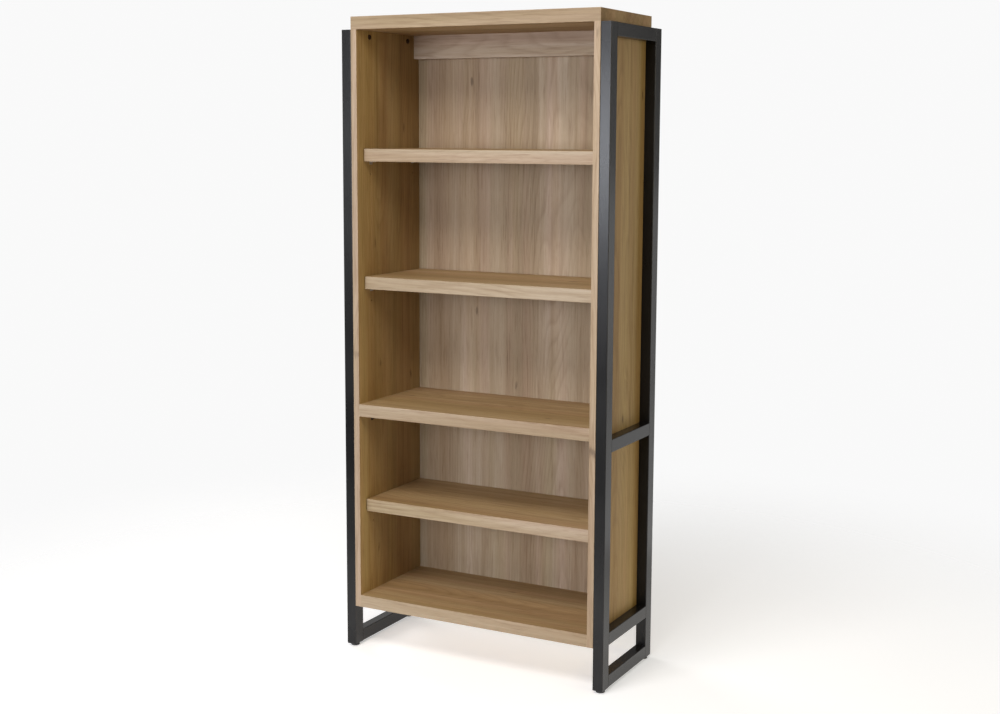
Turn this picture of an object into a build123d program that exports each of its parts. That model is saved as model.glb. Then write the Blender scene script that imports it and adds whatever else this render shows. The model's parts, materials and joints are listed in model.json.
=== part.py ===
from build123d import *
import os

# Bookcase with adjustable shelves: a board case bolted between two steel side frames.
# The origin is on the floor under the middle of the case: +X right, +Y back, +Z up.
# All sizes are in millimetres.

# Overall size
overall_width = 813
overall_depth = 337
overall_height = 1800

# Boards of the case
board_thickness = 35
side_thickness = 18
back_thickness = 3
back_rail_thickness = 28
back_rail_height = 67.5
back_panel_inset = 2
case_bottom = 124
fixed_shelf_top = 719
shelf_tops = {"lower": 437, "middle": 1080.5, "upper": 1439}
shelf_front_setback = 32
shelf_end_gap = 2.5
shelf_back_gap = 1.5
edge_round = 0.8

# Steel side frames
tube_width = 30
post_depth = 40
rail_height = 35
tube_wall = 1.5
tube_corner = 2
lower_rail_bottom = 126
middle_rail_bottom = 652

# Levelling feet
foot_height = 8
pad_diameter = 25
pad_height = 5
pad_round = 1.5
stem_diameter = 7.9
stem_length = 30
stem_bore = 8
stem_end_chamfer = 1
stem_pivot_diameter = 6
stem_pivot_length = 2.8
pad_socket_diameter = 6.1
pad_socket_depth = 3
collar_flats = 13
insert_height = 22
insert_clearance = 0.1

# Shelf pins and the holes that take them
pin_diameter = 4.9
pin_length = 9
pin_hole_diameter = 5
pin_hole_depth = 10
pin_hole_pitch = 32
pin_hole_drop = 4
pin_inset = 37
pin_plate_length = 14
pin_plate_thickness = 2.5
pin_leg_thickness = 2.2
pin_leg_drop = 5
pin_width = 12
pin_inner_round = 2

# Bolts and nuts between the case and the frames
bolt_y = 102
bolt_diameter = 6
bolt_length = 27
bolt_head_diameter = 14
bolt_head_height = 3
bolt_head_round = 1.2
bolt_socket_flats = 4
bolt_socket_depth = 2
bolt_hole_diameter = 6.5
bolt_recess_diameter = 14.6
bolt_recess_depth = 3.2
nut_flats = 10
nut_height = 5
nut_bore = 6.1

# Cam fittings and dowels inside the board joints
cam_y = 60
cam_diameter = 15
cam_bore_diameter = 15.2
cam_height = 12.5
cam_bore_depth = 13.5
cam_recess = 0.5
cam_axis_depth = 9
cam_reach = 24
cam_slot_width = 7.4
cam_slot_back = 2
cam_slot_overrun = 1
cam_cross_width = 1.2
cam_cross_length = 9
cam_cross_depth = 1.5
cam_bolt_thread_diameter = 5
cam_bolt_thread_hole = 5.1
cam_bolt_thread_length = 11
cam_bolt_shoulder_diameter = 6
cam_bolt_shoulder_length = 16
cam_bolt_neck_diameter = 4
cam_bolt_neck_length = 6
cam_bolt_head_diameter = 6.6
cam_bolt_head_length = 3
cam_bolt_bore = 8.2
dowel_y = 135
dowel_diameter = 8
dowel_hole_diameter = 8.1
dowel_length = 30
dowel_in_side = 11
dowel_in_top = 12
dowel_end_chamfer = 1
back_rail_dowel_spread = 19
hole_spare_depth = 0.5

# Nails of the back panel
nail_diameter = 1.6
nail_hole_diameter = 1.7
nail_length = 20
nail_head_diameter = 4.5
nail_head_recess_diameter = 4.7
nail_head_height = 0.8
nail_first_height = 150
nail_last_height = 1690
nails_per_side = 11
nails_across = (-240, -80, 80, 240)

# Places worked out from the sizes above
front = -overall_depth / 2
back = overall_depth / 2
case_half = overall_width / 2 - tube_width
inner_half = case_half - side_thickness
case_top = overall_height - board_thickness
case_back = back - back_thickness
case_depth = case_back - front
case_middle_y = (front + case_back) / 2
side_middle_x = case_half - side_thickness / 2
tube_middle_x = case_half + tube_width / 2
post_middle_y = overall_depth / 2 - post_depth / 2
rail_length = overall_depth - 2 * post_depth
shelf_front = front + shelf_front_setback
shelf_back = case_back - shelf_back_gap
pin_rows = (shelf_front + pin_inset, shelf_back - pin_inset)
fixed_shelf_bottom = fixed_shelf_top - board_thickness
back_rail_middle_z = case_top - back_rail_height / 2
back_rail_middle_y = case_back - back_rail_thickness / 2
rail_bottoms = {
    "top": case_top - rail_height,
    "middle": middle_rail_bottom,
    "lower": lower_rail_bottom,
    "bottom": foot_height,
}
bolt_heights = {level: rail_bottoms[level] + rail_height / 2 for level in ("top", "middle", "lower")}
board_undersides = (case_bottom, fixed_shelf_bottom)
nail_step = (nail_last_height - nail_first_height) / (nails_per_side - 1)
nail_heights = [nail_first_height + nail_step * count for count in range(nails_per_side)]
sides = {"left": -1, "right": 1}
ends = {"front": -1, "rear": 1}
both = (-1, 1)

os.makedirs("parts", exist_ok=True)


def finish(piece, name):
    """Label a finished piece and write it to its own file."""
    piece.part.label = name
    export_step(piece.part, f"parts/{name}.step")


def drill(mouth, points, diameter, travel):
    """Cut round holes from a plane; travel is signed along the plane's normal."""
    with BuildSketch(mouth) as circles:
        with Locations(*points):
            Circle(diameter / 2)
    extrude(circles.sketch, amount=travel, mode=Mode.SUBTRACT)


def facing(origin, toward, across):
    """A plane whose normal points one way and whose own x axis points another."""
    return Plane(origin=origin, x_dir=across, z_dir=toward)


def pin_heights(shelf):
    """The three heights at which one adjustable shelf can sit, at its pin holes."""
    set_height = shelf_tops[shelf] - board_thickness - pin_hole_drop
    return [set_height + pin_hole_pitch * step for step in (-1, 0, 1)]


# ---------------------------------------------------------------- boards


def make_side_panel(side):
    """Upright board with every hole that the shelves, frames and back need."""
    hand = sides[side]
    inner_face = Plane.YZ.offset(hand * inner_half)
    outer_face = Plane.YZ.offset(hand * case_half)
    top_edge = Plane.XY.offset(case_top)
    rear_edge = Plane.XZ.offset(-case_back)
    pin_points = [(y, z) for shelf in shelf_tops for z in pin_heights(shelf) for y in pin_rows]
    bolt_points = [(bolt_y * end, z) for z in bolt_heights.values() for end in both]
    sunk_points = [(bolt_y * end, bolt_heights["lower"]) for end in both]
    cam_bolt_points = [(cam_y * end, z + cam_axis_depth) for z in board_undersides for end in both]
    cam_bolt_points.append((case_back - cam_axis_depth, back_rail_middle_z))
    dowel_points = [(dowel_y * end, z + board_thickness / 2) for z in board_undersides for end in both]
    for end in both:
        dowel_points.append((back_rail_middle_y, back_rail_middle_z + end * back_rail_dowel_spread))
    with BuildPart() as panel:
        with BuildSketch(inner_face):
            with Locations((case_middle_y, (case_bottom + case_top) / 2)):
                Rectangle(case_depth, case_top - case_bottom)
        extrude(amount=hand * side_thickness)
        fillet(panel.edges(), edge_round)
        drill(inner_face, pin_points, pin_hole_diameter, hand * pin_hole_depth)
        drill(inner_face, bolt_points, bolt_hole_diameter, hand * side_thickness)
        drill(inner_face, sunk_points, bolt_recess_diameter, hand * bolt_recess_depth)
        thread_depth = cam_bolt_thread_length + hole_spare_depth
        drill(inner_face, cam_bolt_points, cam_bolt_thread_hole, hand * thread_depth)
        drill(inner_face, dowel_points, dowel_hole_diameter, hand * (dowel_in_side + hole_spare_depth))
        # the joint with the top panel: cams from outside, dowels and cam bolts from above
        cam_points = [(cam_y * end, case_top - cam_reach) for end in both]
        drill(outer_face, cam_points, cam_bore_diameter, -hand * cam_bore_depth)
        bolt_tops = [(hand * (case_half - cam_axis_depth), cam_y * end) for end in both]
        drill(top_edge, bolt_tops, cam_bolt_bore, -cam_reach)
        dowel_tops = [(hand * side_middle_x, dowel_y * end) for end in both]
        drill(top_edge, dowel_tops, dowel_hole_diameter, dowel_in_top - dowel_length - hole_spare_depth)
        nail_points = [(hand * side_middle_x, z) for z in nail_heights]
        drill(rear_edge, nail_points, nail_hole_diameter, nail_length)
    finish(panel, f"side_panel_{side}")


def make_top_panel():
    """Board that lies on the side panels, flush with their outer faces."""
    underside = Plane.XY.offset(case_top)
    with BuildPart() as panel:
        with BuildSketch(underside):
            Rectangle(2 * case_half, overall_depth)
        extrude(amount=board_thickness)
        fillet(panel.edges(), edge_round)
        for hand in both:
            bolt_points = [(hand * (case_half - cam_axis_depth), cam_y * end) for end in both]
            thread_depth = cam_bolt_thread_length + hole_spare_depth
            drill(underside, bolt_points, cam_bolt_thread_hole, thread_depth)
            dowel_points = [(hand * side_middle_x, dowel_y * end) for end in both]
            drill(underside, dowel_points, dowel_hole_diameter, dowel_in_top + hole_spare_depth)
    finish(panel, "top_panel")


def make_joined_board(name, underside_z):
    """Full-depth board held between the side panels by cams and dowels."""
    underside = Plane.XY.offset(underside_z)
    rear_edge = Plane.XZ.offset(-case_back)
    with BuildPart() as board:
        with BuildSketch(underside):
            with Locations((0, case_middle_y)):
                Rectangle(2 * inner_half, case_depth)
        extrude(amount=board_thickness)
        fillet(board.edges().filter_by(Axis.X), edge_round)
        for hand in both:
            end_face = Plane.YZ.offset(hand * inner_half)
            bolt_points = [(cam_y * end, underside_z + cam_axis_depth) for end in both]
            drill(end_face, bolt_points, cam_bolt_bore, -hand * cam_reach)
            dowel_points = [(dowel_y * end, underside_z + board_thickness / 2) for end in both]
            dowel_depth = dowel_length - dowel_in_side + hole_spare_depth
            drill(end_face, dowel_points, dowel_hole_diameter, -hand * dowel_depth)
            cam_points = [(hand * (inner_half - cam_reach), cam_y * end) for end in both]
            drill(underside, cam_points, cam_bore_diameter, cam_bore_depth)
        nail_points = [(x, underside_z + board_thickness / 2) for x in nails_across]
        drill(rear_edge, nail_points, nail_hole_diameter, nail_length)
    finish(board, name)


def make_adjustable_shelf(shelf):
    """Loose shelf that lies on four pins, set back from the front edge of the case."""
    with BuildPart() as board:
        with BuildSketch(Plane.XY.offset(shelf_tops[shelf] - board_thickness)):
            with Locations((0, (shelf_front + shelf_back) / 2)):
                Rectangle(2 * (inner_half - shelf_end_gap), shelf_back - shelf_front)
        extrude(amount=board_thickness)
        fillet(board.edges(), edge_round)
    finish(board, f"adjustable_shelf_{shelf}")


def make_top_back_rail():
    """Stretcher under the top panel, at the back of the case."""
    rear_face = Plane.XZ.offset(-case_back)
    with BuildPart() as rail:
        with BuildSketch(rear_face):
            with Locations((0, back_rail_middle_z)):
                Rectangle(2 * inner_half, back_rail_height)
        extrude(amount=back_rail_thickness)
        fillet(rail.edges().filter_by(Axis.X), edge_round)
        for hand in both:
            end_face = Plane.YZ.offset(hand * inner_half)
            bolt_points = [(case_back - cam_axis_depth, back_rail_middle_z)]
            drill(end_face, bolt_points, cam_bolt_bore, -hand * cam_reach)
            dowel_points = []
            for end in both:
                dowel_z = back_rail_middle_z + end * back_rail_dowel_spread
                dowel_points.append((back_rail_middle_y, dowel_z))
            dowel_depth = dowel_length - dowel_in_side + hole_spare_depth
            drill(end_face, dowel_points, dowel_hole_diameter, -hand * dowel_depth)
            cam_points = [(hand * (inner_half - cam_reach), back_rail_middle_z)]
            drill(rear_face, cam_points, cam_bore_diameter, cam_bore_depth)
        nail_points = [(x, back_rail_middle_z) for x in nails_across]
        drill(rear_face, nail_points, nail_hole_diameter, nail_length)
    finish(rail, "top_back_rail")


def back_nail_points():
    """Every nail of the back panel, as x and z."""
    points = [(hand * side_middle_x, z) for hand in both for z in nail_heights]
    middles = [underside + board_thickness / 2 for underside in board_undersides]
    middles.append(back_rail_middle_z)
    points.extend((x, z) for z in middles for x in nails_across)
    return points


def make_back_panel():
    """Thin panel nailed over the rear edges of the case."""
    panel_bottom = case_bottom + back_panel_inset
    panel_top = case_top - back_panel_inset
    with BuildPart() as panel:
        with BuildSketch(Plane.XZ.offset(-back)):
            with Locations((0, (panel_bottom + panel_top) / 2)):
                Rectangle(2 * (case_half - back_panel_inset), panel_top - panel_bottom)
        extrude(amount=back_thickness)
        rear_face = Plane.XZ.offset(-back)
        drill(rear_face, back_nail_points(), nail_hole_diameter, back_thickness)
        drill(rear_face, back_nail_points(), nail_head_recess_diameter, nail_head_height)
    finish(panel, "back_panel")


# ---------------------------------------------------------------- steel frames


def make_post(side, end):
    """Upright tube of a side frame, open below for its foot and closed above."""
    centre = (sides[side] * tube_middle_x, ends[end] * post_middle_y)
    bore = (tube_width - 2 * tube_wall, post_depth - 2 * tube_wall)
    with BuildPart() as post:
        with BuildSketch(Plane.XY.offset(foot_height)):
            with Locations(centre):
                RectangleRounded(tube_width, post_depth, tube_corner)
        extrude(amount=case_top - foot_height)
        with BuildSketch(Plane.XY.offset(foot_height)):
            with Locations(centre):
                RectangleRounded(*bore, tube_corner / 2)
        extrude(amount=case_top - foot_height - tube_wall, mode=Mode.SUBTRACT)
    finish(post, f"frame_{side}_{end}_post")


def make_rail(side, level):
    """Level tube of a side frame, welded between the two posts."""
    hand = sides[side]
    middle_z = rail_bottoms[level] + rail_height / 2
    bore = (tube_width - 2 * tube_wall, rail_height - 2 * tube_wall)
    with BuildPart() as rail:
        with BuildSketch(Plane.XZ):
            with Locations((hand * tube_middle_x, middle_z)):
                RectangleRounded(tube_width, rail_height, tube_corner)
                RectangleRounded(*bore, tube_corner / 2, mode=Mode.SUBTRACT)
        extrude(amount=rail_length / 2, both=True)
        if level in bolt_heights:
            inner_wall = Plane.YZ.offset(hand * case_half)
            bolt_points = [(bolt_y * end, middle_z) for end in both]
            drill(inner_wall, bolt_points, bolt_hole_diameter, hand * tube_wall)
    finish(rail, f"frame_{side}_{level}_rail")


# ---------------------------------------------------------------- levelling feet


def make_foot_pad(side, end):
    """Round plastic pad that stands on the floor, with a socket for the stem."""
    centre = (sides[side] * tube_middle_x, ends[end] * post_middle_y)
    with BuildPart() as pad:
        with BuildSketch(Plane.XY):
            with Locations(centre):
                Circle(pad_diameter / 2)
        extrude(amount=pad_height)
        fillet(pad.edges(), pad_round)
        drill(Plane.XY.offset(pad_height), [centre], pad_socket_diameter, -pad_socket_depth)
    finish(pad, f"foot_pad_{side}_{end}")


def make_foot_stem(side, end):
    """Steel stem: pivot in the pad, hexagon collar for a spanner, thread in the post."""
    centre = (sides[side] * tube_middle_x, ends[end] * post_middle_y)
    with BuildPart() as stem:
        with BuildSketch(Plane.XY.offset(pad_height)):
            with Locations(centre):
                RegularPolygon(collar_flats / 2, 6, major_radius=False)
        extrude(amount=foot_height - pad_height)
        with BuildSketch(Plane.XY.offset(foot_height)):
            with Locations(centre):
                Circle(stem_diameter / 2)
        extrude(amount=stem_length)
        chamfer(stem.edges().group_by(Axis.Z)[-1], stem_end_chamfer)
        with BuildSketch(Plane.XY.offset(pad_height)):
            with Locations(centre):
                Circle(stem_pivot_diameter / 2)
        extrude(amount=-stem_pivot_length)
    finish(stem, f"foot_stem_{side}_{end}")


def make_foot_inserts():
    """Threaded plugs, one in the lower end of each post."""
    width = tube_width - 2 * tube_wall - 2 * insert_clearance
    depth = post_depth - 2 * tube_wall - 2 * insert_clearance
    centres = [(hand * tube_middle_x, end * post_middle_y) for hand in both for end in both]
    with BuildPart() as inserts:
        with BuildSketch(Plane.XY.offset(foot_height)):
            with Locations(*centres):
                RectangleRounded(width, depth, tube_corner / 2)
                Circle(stem_bore / 2, mode=Mode.SUBTRACT)
        extrude(amount=insert_height)
    finish(inserts, "foot_inserts")


# ---------------------------------------------------------------- shelf pins


def make_shelf_pin(shelf, side, end):
    """Steel bracket pin: a round shank in the side panel and a flat plate under the shelf."""
    hand = sides[side]
    row = pin_rows[0] if end == "front" else pin_rows[1]
    axis_z = pin_heights(shelf)[1]
    plate_top = axis_z + pin_hole_drop
    leg_bottom = axis_z - pin_leg_drop
    plate_bottom = plate_top - pin_plate_thickness
    wall = hand * inner_half
    leg = wall - hand * pin_leg_thickness
    tip = wall - hand * pin_plate_length
    with BuildPart() as pin:
        with BuildSketch(Plane.XZ.offset(-row)):
            with BuildLine():
                Polyline(
                    (wall, leg_bottom),
                    (leg, leg_bottom),
                    (leg, plate_bottom),
                    (tip, plate_bottom),
                    (tip, plate_top),
                    (wall, plate_top),
                    close=True,
                )
            make_face()
        extrude(amount=pin_width / 2, both=True)
        inner_corner = pin.edges().filter_by(Axis.Y).sort_by_distance((leg, row, plate_bottom))[0]
        fillet(inner_corner, pin_inner_round)
        with BuildSketch(Plane.YZ.offset(wall)):
            with Locations((row, axis_z)):
                Circle(pin_diameter / 2)
        extrude(amount=hand * pin_length)
    finish(pin, f"shelf_pin_{shelf}_{side}_{end}")


# ---------------------------------------------------------------- bolts and nuts


def make_frame_bolts(level, sink):
    """Flat-headed bolts from inside the case into one level of frame rails."""
    with BuildPart() as bolt:
        with BuildSketch(Plane.XY):
            Circle(bolt_head_diameter / 2)
        extrude(amount=-bolt_head_height)
        fillet(bolt.edges().group_by(Axis.Z)[0], bolt_head_round)
        with BuildSketch(Plane.XY.offset(-bolt_head_height)):
            RegularPolygon(bolt_socket_flats / 2, 6, major_radius=False)
        extrude(amount=bolt_socket_depth, mode=Mode.SUBTRACT)
        with BuildSketch(Plane.XY):
            Circle(bolt_diameter / 2)
        extrude(amount=bolt_length)
    seats = []
    for hand in both:
        for end in both:
            origin = (hand * (inner_half + sink), end * bolt_y, bolt_heights[level])
            seats.append(facing(origin, (hand, 0, 0), (0, 1, 0)))
    with BuildPart() as bolts:
        with Locations(*seats):
            add(bolt.part)
    finish(bolts, f"frame_bolts_{level}")


def make_frame_nuts():
    """Weld nuts on the inside of the rail walls, one for each frame bolt."""
    with BuildPart() as nut:
        with BuildSketch(Plane.XY):
            RegularPolygon(nut_flats / 2, 6, major_radius=False)
            Circle(nut_bore / 2, mode=Mode.SUBTRACT)
        extrude(amount=nut_height)
    seats = []
    for hand in both:
        for end in both:
            for height in bolt_heights.values():
                origin = (hand * (case_half + tube_wall), end * bolt_y, height)
                seats.append(facing(origin, (hand, 0, 0), (0, 1, 0)))
    with BuildPart() as nuts:
        with Locations(*seats):
            add(nut.part)
    finish(nuts, "frame_weld_nuts")


# ---------------------------------------------------------------- cams, dowels and nails


def cam_bolt_seats():
    """Planes on which the cam bolts stand, with the normal towards their cams."""
    seats = []
    for hand in both:
        inward = (-hand, 0, 0)
        for end in both:
            for underside in board_undersides:
                origin = (hand * inner_half, end * cam_y, underside + cam_axis_depth)
                seats.append(facing(origin, inward, (0, 1, 0)))
            origin = (hand * (case_half - cam_axis_depth), end * cam_y, case_top)
            seats.append(facing(origin, (0, 0, -1), (0, 1, 0)))
        origin = (hand * inner_half, case_back - cam_axis_depth, back_rail_middle_z)
        seats.append(facing(origin, inward, (0, 1, 0)))
    return seats


def cam_mouths():
    """Planes of the cams' outer faces: normal into the board, x axis towards the cam bolt."""
    mouths = []
    for hand in both:
        outward = (hand, 0, 0)
        cam_x = hand * (inner_half - cam_reach)
        for end in both:
            for underside in board_undersides:
                mouths.append(facing((cam_x, end * cam_y, underside), (0, 0, 1), outward))
            origin = (hand * case_half, end * cam_y, case_top - cam_reach)
            mouths.append(facing(origin, (-hand, 0, 0), (0, 0, 1)))
        mouths.append(facing((cam_x, case_back, back_rail_middle_z), (0, -1, 0), outward))
    return mouths


def make_cam_bolts():
    """Steel cam bolts: thread, shoulder, neck and head in line."""
    steps = (
        (cam_bolt_shoulder_diameter, cam_bolt_shoulder_length),
        (cam_bolt_neck_diameter, cam_bolt_neck_length),
        (cam_bolt_head_diameter, cam_bolt_head_length),
    )
    with BuildPart() as cam_bolt:
        with BuildSketch(Plane.XY):
            Circle(cam_bolt_thread_diameter / 2)
        extrude(amount=-cam_bolt_thread_length)
        level = 0
        for diameter, length in steps:
            with BuildSketch(Plane.XY.offset(level)):
                Circle(diameter / 2)
            extrude(amount=length)
            level += length
    with BuildPart() as cam_bolts:
        with Locations(*cam_bolt_seats()):
            add(cam_bolt.part)
    finish(cam_bolts, "cam_bolts")


def make_cam_locks():
    """Round cams that draw the cam bolts in, each with a slot and a driver cross."""
    slot_length = cam_diameter / 2 + cam_slot_back + cam_slot_overrun
    with BuildPart() as cam:
        with BuildSketch(Plane.XY.offset(cam_recess)):
            Circle(cam_diameter / 2)
        extrude(amount=cam_height)
        with BuildSketch(Plane.YZ.offset(-cam_slot_back)):
            with Locations((0, cam_axis_depth)):
                Rectangle(cam_slot_width, cam_slot_width)
        extrude(amount=slot_length, mode=Mode.SUBTRACT)
        with BuildSketch(Plane.XY.offset(cam_recess)):
            Rectangle(cam_cross_length, cam_cross_width)
            Rectangle(cam_cross_width, cam_cross_length)
        extrude(amount=cam_cross_depth, mode=Mode.SUBTRACT)
    with BuildPart() as cams:
        with Locations(*cam_mouths()):
            add(cam.part)
    finish(cams, "cam_locks")


def make_dowels():
    """Wooden dowels that line up the board joints."""
    with BuildPart() as dowel:
        with BuildSketch(Plane.XY):
            Circle(dowel_diameter / 2)
        extrude(amount=dowel_length)
        chamfer(dowel.edges().filter_by(GeomType.CIRCLE), dowel_end_chamfer)
    starts = []
    for hand in both:
        start_x = hand * (inner_half + dowel_in_side)
        for end in both:
            for underside in board_undersides:
                origin = (start_x, end * dowel_y, underside + board_thickness / 2)
                starts.append(facing(origin, (-hand, 0, 0), (0, 1, 0)))
            origin = (start_x, back_rail_middle_y, back_rail_middle_z + end * back_rail_dowel_spread)
            starts.append(facing(origin, (-hand, 0, 0), (0, 1, 0)))
            origin = (hand * side_middle_x, end * dowel_y, case_top + dowel_in_top)
            starts.append(facing(origin, (0, 0, -1), (0, 1, 0)))
    with BuildPart() as dowels:
        with Locations(*starts):
            add(dowel.part)
    finish(dowels, "wooden_dowels")


def make_back_nails():
    """Flat-headed nails, flush with the back panel."""
    with BuildPart() as nail:
        with BuildSketch(Plane.XY):
            Circle(nail_head_diameter / 2)
        extrude(amount=nail_head_height)
        with BuildSketch(Plane.XY.offset(nail_head_height)):
            Circle(nail_diameter / 2)
        extrude(amount=nail_length - nail_head_height)
    seats = [facing((x, back, z), (0, -1, 0), (1, 0, 0)) for x, z in back_nail_points()]
    with BuildPart() as nails:
        with Locations(*seats):
            add(nail.part)
    finish(nails, "back_panel_nails")


for side in sides:
    make_side_panel(side)
    for end in ends:
        make_post(side, end)
        make_foot_pad(side, end)
        make_foot_stem(side, end)
        for shelf in shelf_tops:
            make_shelf_pin(shelf, side, end)
    for level in rail_bottoms:
        make_rail(side, level)
for shelf in shelf_tops:
    make_adjustable_shelf(shelf)
make_joined_board("bottom_panel", case_bottom)
make_joined_board("fixed_shelf", fixed_shelf_bottom)
make_top_panel()
make_top_back_rail()
make_back_panel()
make_foot_inserts()
make_frame_bolts("top", 0)
make_frame_bolts("middle", 0)
make_frame_bolts("lower", bolt_recess_depth)
make_frame_nuts()
make_cam_bolts()
make_cam_locks()
make_dowels()
make_back_nails()
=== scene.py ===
"""Looks of the bookcase: oak-print boards, powder-coated steel frames, fittings, floor, lights and camera.

Everything is in metres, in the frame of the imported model: +X right, -Y front, +Z up, origin on the floor.
"""

import json
import math

import bpy
from mathutils import Matrix, Vector


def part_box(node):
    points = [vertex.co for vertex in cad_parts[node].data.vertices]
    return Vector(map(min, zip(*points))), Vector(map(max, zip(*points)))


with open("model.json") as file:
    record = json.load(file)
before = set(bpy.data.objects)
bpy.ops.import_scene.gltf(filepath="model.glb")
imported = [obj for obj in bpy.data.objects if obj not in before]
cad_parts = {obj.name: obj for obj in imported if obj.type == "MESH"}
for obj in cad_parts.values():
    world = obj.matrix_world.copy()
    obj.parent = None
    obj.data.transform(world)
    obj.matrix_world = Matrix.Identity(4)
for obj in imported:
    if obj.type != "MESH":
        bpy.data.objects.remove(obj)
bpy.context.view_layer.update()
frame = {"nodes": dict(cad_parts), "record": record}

MM = 0.001

# Camera, standing in front of the right-hand corner and looking slightly down
CAMERA_PLACE = Vector((1.937, -3.651, 1.487))
CAMERA_TURN = math.radians(27.9)
CAMERA_TILT = math.radians(7.67)
CAMERA_ROLL = math.radians(-0.24)
CAMERA_LENS = 53.45
CAMERA_SHIFT_DOWN = 0.025

# Oak print, as linear colours from the darkest streak to the palest
OAK_TONES = (
    (0.33, (0.265, 0.164, 0.074)),
    (0.45, (0.348, 0.225, 0.106)),
    (0.55, (0.420, 0.284, 0.146)),
    (0.68, (0.500, 0.352, 0.196)),
)
# Colours that the streaks, dashes, pores and rings of the print are multiplied by, and a knot's colour
ROSY_STREAK = (1.04, 0.960, 1.000)
OLIVE_STREAK = (0.985, 1.000, 0.880)
DARK_DASH = (0.66, 0.58, 0.52)
OPEN_PORE = (0.50, 0.42, 0.36)
RING_DARK = (0.72, 0.66, 0.60)
RING_PALE = (1.06, 1.06, 1.06)
KNOT_COLOUR = (0.085, 0.045, 0.022)
RING_PITCH = 0.0085
# The tints over the print: a near-neutral one on faces, and below it the ones on the sides, on the front
# edge bands and on the back's boards, which are painted light
FACE_TINT = (1.00, 1.02, 1.00)
# Yellower tint on the side panels: painted warm light from the right side
SIDE_PAINTED_WARM_LIGHT_TINT = (0.98, 1.00, 0.84)
# Paler, bluer tint on the front edge bands and on the back's printed face: painted sheen of the cool front
# light; the edge band itself is a real strip
BAND_PAINTED_SHEEN_TINT = (0.93, 1.08, 1.45)
BACK_PAINTED_SHEEN_TINT = (0.93, 1.08, 1.45)
# Much brighter, bluer tint on the top back rail: painted light, against the shadow that the top casts on it
BACK_RAIL_PAINTED_LIGHT_TINT = (1.16, 1.37, 2.04)
# Which boards get these painted light tints
BOARD_PAINTED_LIGHT_TINTS = {
    "top_back_rail": BACK_RAIL_PAINTED_LIGHT_TINT,
    "side_panel_left": SIDE_PAINTED_WARM_LIGHT_TINT,
    "side_panel_right": SIDE_PAINTED_WARM_LIGHT_TINT,
}
# The boards whose front is a face and not a banded edge
UNBANDED_BOARDS = ("top_back_rail", "back_panel")
BAND_THICKNESS = 1.0 * MM
BAND_JOINT = (0.20, 0.12, 0.06)
RUBBED_OAK = (0.60, 0.47, 0.31)
BARE_FIBREBOARD = (
    (0.35, (0.235, 0.140, 0.070)),
    (0.50, (0.330, 0.208, 0.110)),
    (0.68, (0.430, 0.290, 0.165)),
)

# Powder coat, and the black plastic of the feet
COAT_TONES = ((0.35, (0.0070, 0.0070, 0.0074)), (0.65, (0.0125, 0.0123, 0.0126)))
RUBBED_COAT = (0.042, 0.041, 0.042)
PLASTIC_TONES = ((0.3, (0.010, 0.010, 0.010)), (0.7, (0.020, 0.020, 0.021)))
FLOOR_DUST = (0.09, 0.085, 0.08)

# The round floor: its radius, and the distances between which it fades away
FLOOR_RADIUS = 9.0
FLOOR_FADE_START = 0.55
FLOOR_FADE_END = 2.6
FLOOR_TONES = ((0.3, (0.80, 0.80, 0.80)), (0.7, (0.83, 0.83, 0.83)))
FLOOR_GLOW = 0.42
# The boards whose grain stands upright; it runs across the bookcase on the others
UPRIGHT_BOARDS = ("side_panel_left", "side_panel_right", "back_panel")


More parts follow.
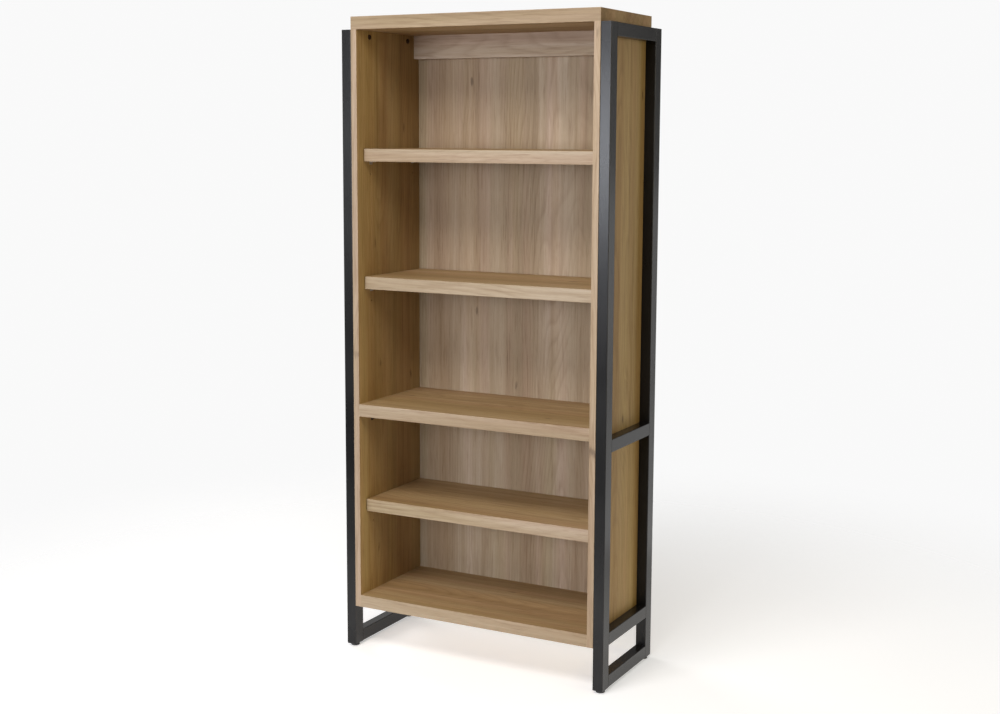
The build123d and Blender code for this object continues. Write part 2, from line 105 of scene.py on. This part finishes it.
class Shading:
    """One material's node tree, with short calls that add nodes and join them up."""

    def __init__(self, name):
        self.material = bpy.data.materials.new(name)
        self.material.use_nodes = True
        self.nodes = self.material.node_tree.nodes
        self.links = self.material.node_tree.links
        self.shader = self.nodes["Principled BSDF"]
        self.place = self.nodes.new("ShaderNodeTexCoord").outputs["Object"]
        self.parts = self.split(self.place)

    def join(self, value, socket):
        """A socket is linked to the input, and a number or colour is set on it."""
        if isinstance(value, bpy.types.NodeSocket):
            self.links.new(value, socket)
        else:
            socket.default_value = value

    def set(self, **values):
        """Sets the shader's own inputs, such as base_color or roughness."""
        for name, value in values.items():
            words = name.replace("_", " ")
            socket = next(s for s in self.shader.inputs if s.name.lower() == words)
            if isinstance(value, tuple):
                value = (*value, 1.0)
            self.join(value, socket)

    def split(self, vector):
        node = self.nodes.new("ShaderNodeSeparateXYZ")
        self.join(vector, node.inputs[0])
        return list(node.outputs)

    def sum(self, operation, *values):
        """A Math node on plain numbers."""
        node = self.nodes.new("ShaderNodeMath")
        node.operation = operation
        for value, socket in zip(values, node.inputs):
            self.join(value, socket)
        return node.outputs[0]

    def vector(self, operation, *values):
        """A Vector Math node."""
        node = self.nodes.new("ShaderNodeVectorMath")
        node.operation = operation
        for value, socket in zip(values, node.inputs):
            self.join(value, socket)
        return node.outputs[0]

    def stretched(self, scales, seed):
        """The place on the object, stretched by a scale for each axis and moved away by the seed."""
        scaled = self.vector("MULTIPLY", self.place, tuple(scales))
        return self.vector("ADD", scaled, (3.1 * seed, 7.7 * seed, 5.3 * seed))

    def noise(self, where, detail=2.0, roughness=0.5, distortion=0.0):
        node = self.nodes.new("ShaderNodeTexNoise")
        self.join(where, node.inputs["Vector"])
        node.inputs["Scale"].default_value = 1.0
        node.inputs["Detail"].default_value = detail
        node.inputs["Roughness"].default_value = roughness
        node.inputs["Distortion"].default_value = distortion
        return node.outputs[0]

    def flat_cells(self, first, second):
        """Flat Voronoi cells: the distance from the nearest centre, and a random number for each cell."""
        where = self.nodes.new("ShaderNodeCombineXYZ")
        self.join(first, where.inputs[0])
        self.join(second, where.inputs[1])
        node = self.nodes.new("ShaderNodeTexVoronoi")
        node.voronoi_dimensions = "2D"
        self.join(where.outputs[0], node.inputs["Vector"])
        node.inputs["Scale"].default_value = 1.0
        return node.outputs["Distance"], self.split(node.outputs["Color"])[0]

    def fade(self, value, start, end, low=0.0, high=1.0):
        """Goes smoothly from low to high as value goes from start to end."""
        node = self.nodes.new("ShaderNodeMapRange")
        node.interpolation_type = "SMOOTHSTEP"
        for number, socket in zip((value, start, end, low, high), node.inputs):
            self.join(number, socket)
        return node.outputs[0]

    def ramp(self, value, stops):
        """A colour ramp through (place, colour) stops."""
        node = self.nodes.new("ShaderNodeValToRGB")
        elements = node.color_ramp.elements
        while len(elements) < len(stops):
            elements.new(0.5)
        for element, (place, colour) in zip(elements, stops):
            element.position = place
            element.color = (*colour, 1.0)
        self.join(value, node.inputs[0])
        return node.outputs[0]

    def mix(self, share, first, second, blend="MIX"):
        """Mixes two colours; each is a socket or three numbers."""
        node = self.nodes.new("ShaderNodeMix")
        node.data_type = "RGBA"
        node.blend_type = blend
        self.join(share, node.inputs[0])
        for value, socket in ((first, node.inputs[6]), (second, node.inputs[7])):
            self.join((*value, 1.0) if isinstance(value, tuple) else value, socket)
        return node.outputs[2]

    def bump(self, height, depth, strength=1.0):
        """Feeds a height from 0 to 1 to the shader's normal, as a relief of this depth in metres."""
        node = self.nodes.new("ShaderNodeBump")
        node.inputs["Strength"].default_value = strength
        node.inputs["Distance"].default_value = depth
        self.join(height, node.inputs["Height"])
        self.links.new(node.outputs[0], self.shader.inputs["Normal"])

    def edge_gap(self, low, high):
        """How far a point on a box's surface is from the nearest edge of the box."""
        inward = self.vector(
            "MINIMUM",
            self.vector("SUBTRACT", self.place, tuple(low)),
            self.vector("SUBTRACT", tuple(high), self.place),
        )
        first, second, third = self.split(inward)
        nearer = self.sum("MINIMUM", first, second)
        further = self.sum("MAXIMUM", first, second)
        return self.sum("MAXIMUM", nearer, self.sum("MINIMUM", further, third))


def dress(node, material):
    """A CAD node shows this material all over."""
    for slot in frame["nodes"][node].material_slots:
        slot.material = material


def board_axes(low, high, grain):
    """Which axis a board is thin along, and which one runs across its grain."""
    size = high - low
    thin = min(range(3), key=lambda axis: size[axis])
    return thin, 3 - grain - thin


def growth_rings(shading, low, high, grain, knot_bulge, seed):
    """The growth rings that a flat-sawn board cuts through, as arches along its middle: 0 dark to 1 pale."""
    size = high - low
    thin, across = board_axes(low, high, grain)
    heart = low[across] + size[across] * (0.5 + 0.22 * math.sin(2.4 * seed))
    depth = 0.045 + 0.015 * math.cos(1.7 * seed)
    lean = 0.055 if seed % 2 else -0.05
    scales = [6.0, 6.0, 6.0]
    scales[grain] = 1.1
    sway = shading.noise(shading.stretched(scales, seed + 0.5), detail=2.0)
    along = shading.sum("SUBTRACT", shading.parts[grain], (low[grain] + high[grain]) / 2)
    below = shading.sum("MULTIPLY_ADD", along, lean, depth - low[thin])
    below = shading.sum("ADD", below, shading.parts[thin])
    below = shading.sum("ADD", below, shading.sum("MULTIPLY", sway, 0.11))
    aside = shading.sum("SUBTRACT", shading.parts[across], heart)
    radius = shading.sum("SQRT", shading.sum(
        "ADD", shading.sum("MULTIPLY", below, below), shading.sum("MULTIPLY", aside, aside)
    ))
    radius = shading.sum("MULTIPLY_ADD", knot_bulge, 0.012, radius)
    ring = shading.sum("FRACT", shading.sum("DIVIDE", radius, RING_PITCH))
    return shading.ramp(ring, (
        (0.0, (0.0, 0.0, 0.0)), (0.30, (0.75, 0.75, 0.75)), (0.80, (1.0, 1.0, 1.0)), (1.0, (0.0, 0.0, 0.0))
    ))


def oak_colour(shading, low, high, grain, seed):
    """The oak print's colour, and its open pores from 0 to 1."""

    def streaks(lengthwise, crosswise, **settings):
        scales = [crosswise] * 3
        scales[grain] = lengthwise
        return shading.noise(shading.stretched(scales, seed), **settings)

    across = board_axes(low, high, grain)[1]
    knot_gap, knot_kind = shading.flat_cells(
        shading.sum("MULTIPLY_ADD", shading.parts[across], 7.0, 3.7 * seed),
        shading.sum("MULTIPLY_ADD", shading.parts[grain], 2.6, 1.9 * seed),
    )
    is_knot = shading.fade(knot_kind, 0.62, 0.66)
    ragged = shading.sum("MULTIPLY_ADD", streaks(38.0, 190.0, detail=2.0), 0.09, knot_gap)
    knot = shading.sum("MULTIPLY", is_knot, shading.fade(ragged, 0.050, 0.095, 1.0, 0.0))
    bulge = shading.sum("MULTIPLY", is_knot, shading.fade(knot_gap, 0.05, 0.45, 1.0, 0.0))

    broad = streaks(0.55, 11.0, detail=2.0, distortion=0.15)
    middle = streaks(1.3, 48.0, detail=4.0, roughness=0.62, distortion=0.2)
    fine = streaks(7.0, 330.0, detail=3.0, roughness=0.65)
    pores = shading.fade(streaks(34.0, 1500.0, detail=1.0), 0.60, 0.70)
    figure = shading.sum("MULTIPLY_ADD", broad, 0.45, shading.sum("MULTIPLY", middle, 0.40))
    figure = shading.sum("MULTIPLY_ADD", fine, 0.15, figure)
    colour = shading.ramp(figure, OAK_TONES)

    rosy = shading.fade(streaks(0.4, 17.0, detail=1.0), 0.42, 0.62, 0.0, 0.65)
    colour = shading.mix(rosy, colour, ROSY_STREAK, "MULTIPLY")
    olive = shading.fade(streaks(0.9, 14.0, detail=1.0), 0.48, 0.66, 0.0, 0.45)
    colour = shading.mix(olive, colour, OLIVE_STREAK, "MULTIPLY")
    dashes = shading.fade(streaks(9.0, 150.0, detail=2.0), 0.54, 0.70, 0.0, 0.42)
    colour = shading.mix(dashes, colour, DARK_DASH, "MULTIPLY")
    rings = growth_rings(shading, low, high, grain, bulge, seed)
    patches = shading.fade(streaks(0.8, 5.0, detail=1.0), 0.35, 0.60, 0.10, 0.42)
    colour = shading.mix(patches, colour, shading.mix(rings, RING_DARK, RING_PALE), "MULTIPLY")
    colour = shading.mix(shading.sum("MULTIPLY", pores, 0.34), colour, OPEN_PORE, "MULTIPLY")
    return shading.mix(shading.sum("MULTIPLY", knot, 0.60), colour, KNOT_COLOUR), pores, fine


def oak_board(node, tint, seed):
    """A board with oak-print faces: figure, pores, front edge band, its joint line and rubbed edges. The
    front face's tint paints in the sheen of the front light, and the tint given to the side panels, the back
    and the top back rail is painted light too.
    """
    low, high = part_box(node)
    shading = Shading("oak_" + node)
    grain = 2 if node in UPRIGHT_BOARDS else 0
    colour, pores, fine = oak_colour(shading, low, high, grain, seed)
    on_band = shading.fade(shading.parts[1], low.y + 0.5 * BAND_THICKNESS, low.y + BAND_THICKNESS, 1.0, 0.0)
    # The front face gets a paler, bluer painted sheen over the real edge band; the top back rail and the
    # back get their own painted light tint there
    painted_front_tint = tint if node in UNBANDED_BOARDS else BAND_PAINTED_SHEEN_TINT
    colour = shading.mix(1.0, colour, shading.mix(on_band, tint, painted_front_tint), "MULTIPLY")
    gap = shading.edge_gap(low, high)
    band_line = shading.sum(
        "MULTIPLY",
        shading.fade(gap, 0.9 * BAND_THICKNESS, BAND_THICKNESS),
        shading.fade(gap, 1.15 * BAND_THICKNESS, 1.3 * BAND_THICKNESS, 1.0, 0.0),
    )
    colour = shading.mix(shading.sum("MULTIPLY", band_line, 0.35), colour, BAND_JOINT)
    rub_noise = shading.noise(shading.stretched((60, 60, 60), seed), detail=3.0)
    rub = shading.fade(shading.sum("MULTIPLY_ADD", rub_noise, 3.0 * MM, gap), 1.2 * MM, 2.6 * MM, 0.45, 0.0)
    colour = shading.mix(rub, colour, RUBBED_OAK)
    relief = shading.sum("SUBTRACT", shading.sum("MULTIPLY", fine, 0.4), shading.sum("MULTIPLY", pores, 0.6))
    shading.set(
        base_color=colour,
        roughness=shading.sum("MULTIPLY_ADD", fine, 0.16, shading.sum("MULTIPLY_ADD", pores, 0.12, 0.44)),
        specular_ior_level=0.22,
    )
    shading.bump(relief, 0.12 * MM, 0.6)
    return shading


def back_board(node, seed):
    """The thin back: oak print on the face towards the shelves, and bare brown fibreboard behind."""
    # The back's print gets a paler, bluer tint: painted sheen of the front light
    shading = oak_board(node, BACK_PAINTED_SHEEN_TINT, seed)
    low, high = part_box(node)
    flecks = shading.noise(shading.stretched((420, 420, 420), seed), detail=4.0, roughness=0.7)
    clouds = shading.noise(shading.stretched((5, 5, 5), seed), detail=3.0)
    mottle = shading.sum("MULTIPLY_ADD", clouds, 0.18, shading.sum("MULTIPLY", flecks, 0.82))
    bare = shading.ramp(mottle, BARE_FIBREBOARD)
    behind = shading.fade(shading.parts[1], high.y - 0.6 * MM, high.y - 0.3 * MM)
    printed = shading.shader.inputs["Base Color"].links[0].from_socket
    shading.set(base_color=shading.mix(behind, printed, bare))
    return shading


def powder_coat(node, seed):
    """Matt charcoal powder coat with fine orange-peel, thinner and more polished along the edges."""
    low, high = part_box(node)
    shading = Shading("steel_" + node)
    peel = shading.noise(shading.stretched((1700, 1700, 1700), seed), detail=2.0)
    clouds = shading.noise(shading.stretched((9, 9, 5), seed), detail=3.0)
    wear = shading.noise(shading.stretched((38, 38, 14), seed), detail=4.0, roughness=0.65)
    gap = shading.edge_gap(low, high)
    rubbed = shading.fade(shading.sum("MULTIPLY_ADD", wear, 4.0 * MM, gap), 1.6 * MM, 4.2 * MM, 0.55, 0.0)
    colour = shading.ramp(clouds, COAT_TONES)
    colour = shading.mix(rubbed, colour, RUBBED_COAT)
    rough = shading.sum("MULTIPLY_ADD", clouds, 0.08, shading.sum("MULTIPLY_ADD", rubbed, -0.06, 0.21))
    shading.set(base_color=colour, roughness=rough, specular_ior_level=0.30)
    shading.bump(peel, 0.05 * MM, 0.45)
    return shading


def plated_metal(name, dark, pale, roughness, seed):
    """Plated or blackened steel: mottled colour, turning marks and uneven gloss."""
    shading = Shading(name)
    mottle = shading.noise(shading.stretched((260, 260, 260), seed), detail=4.0, roughness=0.6)
    marks = shading.noise(shading.stretched((900, 900, 4200), seed), detail=2.0)
    colour = shading.ramp(mottle, ((0.32, dark), (0.70, pale)))
    rough = shading.sum("MULTIPLY_ADD", mottle, 0.18, roughness - 0.09)
    shading.set(base_color=colour, metallic=1.0, roughness=rough)
    shading.bump(marks, 0.03 * MM, 0.5)
    return shading.material


def moulded_plastic(name, seed):
    """Black moulded plastic with a spark-eroded texture, and dust scuffed on where it meets the floor."""
    shading = Shading(name)
    grit = shading.noise(shading.stretched((2600, 2600, 2600), seed), detail=2.0)
    scuffs = shading.noise(shading.stretched((140, 140, 600), seed), detail=4.0, roughness=0.7)
    height = shading.sum("MULTIPLY_ADD", scuffs, -4.0 * MM, shading.parts[2])
    dusty = shading.fade(height, -1.5 * MM, 1.5 * MM, 0.5, 0.0)
    colour = shading.mix(dusty, shading.ramp(grit, PLASTIC_TONES), FLOOR_DUST)
    shading.set(base_color=colour, roughness=shading.sum("MULTIPLY_ADD", grit, 0.15, 0.45))
    shading.bump(grit, 0.05 * MM, 0.6)
    return shading.material


def beech(name, seed):
    """Beech dowel: fine straight grain along X with short darker rays."""
    shading = Shading(name)
    lines = shading.noise(shading.stretched((25, 900, 900), seed), detail=3.0)
    rays = shading.fade(shading.noise(shading.stretched((160, 1600, 1600), seed), detail=1.0), 0.60, 0.68)
    colour = shading.ramp(lines, ((0.35, (0.45, 0.285, 0.150)), (0.65, (0.60, 0.410, 0.240))))
    colour = shading.mix(shading.sum("MULTIPLY", rays, 0.5), colour, (0.26, 0.14, 0.07))
    shading.set(base_color=colour, roughness=0.6)
    shading.bump(lines, 0.05 * MM, 0.5)
    return shading.material


def dress_object():
    """Every CAD node gets the finish of its material slot."""
    slots = {part["node"]: part["material_slot"] for part in frame["record"]["subparts"]}
    shared = {
        "dark_bronze": plated_metal("dark_bronze", (0.045, 0.028, 0.018), (0.105, 0.066, 0.042), 0.42, 1),
        "zinc_steel": plated_metal("zinc_steel", (0.46, 0.46, 0.45), (0.70, 0.70, 0.68), 0.36, 2),
        "black_plastic": moulded_plastic("black_plastic", 3),
        "beech": beech("beech", 4),
    }
    for seed, node in enumerate(sorted(frame["nodes"])):
        slot = slots[node]
        if slot == "oak_back":
            dress(node, back_board(node, seed).material)
        elif slot == "oak_board":
            # The side panels and the top back rail get painted light tints; the other boards get the
            # near-neutral face tint
            dress(node, oak_board(node, BOARD_PAINTED_LIGHT_TINTS.get(node, FACE_TINT), seed).material)
        elif slot == "black_steel":
            dress(node, powder_coat(node, seed).material)
        else:
            dress(node, shared[slot])


def pale_floor():
    """A round pale floor that fades out into the pale surroundings before its rim."""
    ring_count = 24
    side_count = 96
    points = [(0.0, 0.0, 0.0)]
    faces = []
    for ring in range(1, ring_count + 1):
        radius = FLOOR_RADIUS * (ring / ring_count) ** 1.5
        for side in range(side_count):
            turn = 2 * math.pi * side / side_count
            points.append((radius * math.cos(turn), radius * math.sin(turn), 0.0))
    for side in range(side_count):
        after = (side + 1) % side_count
        faces.append((0, 1 + side, 1 + after))
        for ring in range(ring_count - 1):
            inner = 1 + ring * side_count
            outer = inner + side_count
            faces.append((inner + side, outer + side, outer + after, inner + after))
    mesh = bpy.data.meshes.new("studio_floor")
    mesh.from_pydata(points, [], faces)
    floor = bpy.data.objects.new("studio_floor", mesh)
    bpy.context.scene.collection.objects.link(floor)
    shading = Shading("studio_floor")
    cloud = shading.noise(shading.stretched((1.5, 1.5, 1.5), 9), detail=2.0)
    shading.set(base_color=shading.ramp(cloud, FLOOR_TONES), roughness=0.9)
    from_middle = shading.nodes.new("ShaderNodeVectorMath")
    from_middle.operation = "LENGTH"
    shading.join(shading.place, from_middle.inputs[0])
    shading.set(
        alpha=shading.fade(from_middle.outputs["Value"], FLOOR_FADE_START, FLOOR_FADE_END, 1.0, 0.0),
        emission_color=(1.0, 1.0, 1.0),
        emission_strength=FLOOR_GLOW,
    )
    mesh.materials.append(shading.material)


def surroundings(seen, lighting):
    """The pale studio around the object: what the camera sees of it, and the softer light that it gives."""
    world = bpy.data.worlds.new("studio")
    world.use_nodes = True
    nodes = world.node_tree.nodes
    links = world.node_tree.links
    path = nodes.new("ShaderNodeLightPath")
    mix = nodes.new("ShaderNodeMix")
    mix.data_type = "RGBA"
    links.new(path.outputs["Is Camera Ray"], mix.inputs[0])
    mix.inputs[6].default_value = (*lighting, 1.0)
    mix.inputs[7].default_value = (*seen, 1.0)
    links.new(mix.outputs[2], nodes["Background"].inputs["Color"])
    bpy.context.scene.world = world


def softbox(name, place, target, width, height, power, colour):
    """A rectangular area light at place, facing target."""
    light = bpy.data.lights.new(name, "AREA")
    light.shape = "RECTANGLE"
    light.size = width
    light.size_y = height
    light.energy = power
    light.color = colour
    lamp = bpy.data.objects.new(name, light)
    lamp.visible_camera = False
    lamp.location = place
    lamp.rotation_euler = (Vector(target) - Vector(place)).to_track_quat("-Z", "Y").to_euler()
    bpy.context.scene.collection.objects.link(lamp)


def studio():
    """The floor and soft studio light.

    A key and a broad fill stand in front, a warm fill at the right, and one box hangs overhead. One at the
    back left and a rim light at the back right light the far sides. The sheen boxes are weak, and show
    mostly as reflections in the steel frames. The last one lies on the floor behind.
    """
    pale_floor()
    surroundings(seen=(0.95, 0.95, 0.95), lighting=(0.15, 0.145, 0.14))
    softbox("key", (-1.2, -3.9, 1.42), (0.0, 0.0, 1.0), 1.7, 0.75, 52, (0.95, 0.98, 1.06))
    softbox("front_fill", (0.1, -5.0, 1.8), (0.0, 0.0, 0.8), 1.8, 2.0, 80, (0.97, 0.98, 1.04))
    softbox("side_fill", (4.0, -0.75, 1.5), (0.2, 0.0, 0.9), 0.7, 2.2, 26, (1.0, 0.82, 0.30))
    softbox("overhead", (0.2, -2.2, 3.3), (0.0, 0.0, 0.6), 2.2, 1.2, 64, (1.0, 0.96, 0.92))
    softbox("behind", (-3.7, 1.9, 2.2), (0.0, 0.0, 0.9), 2.0, 2.0, 62, (1.0, 0.98, 0.96))
    softbox("rail_sheen", (-2.6, 3.4, 1.5), (0.0, 0.0, 0.3), 2.0, 1.6, 4.5, (1.0, 0.99, 0.98))
    softbox("post_sheen", (-3.1, -3.9, 1.5), (-0.4, 0.0, 1.3), 1.2, 1.5, 5.6, (0.97, 0.98, 1.0))
    softbox("rim", (3.6, 3.6, 1.3), (0.4, 0.0, 0.9), 1.8, 2.4, 30, (1.0, 0.99, 0.98))
    softbox("side_sheen", (2.35, 4.4, 0.6), (0.4, 0.0, 0.6), 1.2, 1.2, 3.2, (1.0, 1.0, 1.0))
    softbox("floor_sheen", (1.4, 2.6, 0.02), (1.4, 2.6, 2.0), 1.6, 3.0, 11, (1.0, 1.0, 1.0))


def place_camera():
    """The camera, level but for a slight downward tilt, with its frame shifted a little."""
    data = bpy.data.cameras.new("camera")
    data.sensor_width = 36.0
    data.lens = CAMERA_LENS
    data.shift_y = -CAMERA_SHIFT_DOWN
    data.clip_start = 0.05
    data.clip_end = 100.0
    camera = bpy.data.objects.new("camera", data)
    bpy.context.scene.collection.objects.link(camera)
    right = Vector((math.cos(CAMERA_TURN), math.sin(CAMERA_TURN), 0.0))
    ahead = Vector((
        -math.sin(CAMERA_TURN) * math.cos(CAMERA_TILT),
        math.cos(CAMERA_TURN) * math.cos(CAMERA_TILT),
        -math.sin(CAMERA_TILT),
    ))
    up = right.cross(ahead)
    rolled_right = right * math.cos(CAMERA_ROLL) - up * math.sin(CAMERA_ROLL)
    rolled_up = right * math.sin(CAMERA_ROLL) + up * math.cos(CAMERA_ROLL)
    turn = Matrix((rolled_right, rolled_up, -ahead)).transposed()
    camera.matrix_world = Matrix.Translation(CAMERA_PLACE) @ turn.to_4x4()
    bpy.context.scene.camera = camera


dress_object()
studio()
place_camera()
bpy.context.scene.view_settings.view_transform = "Standard"
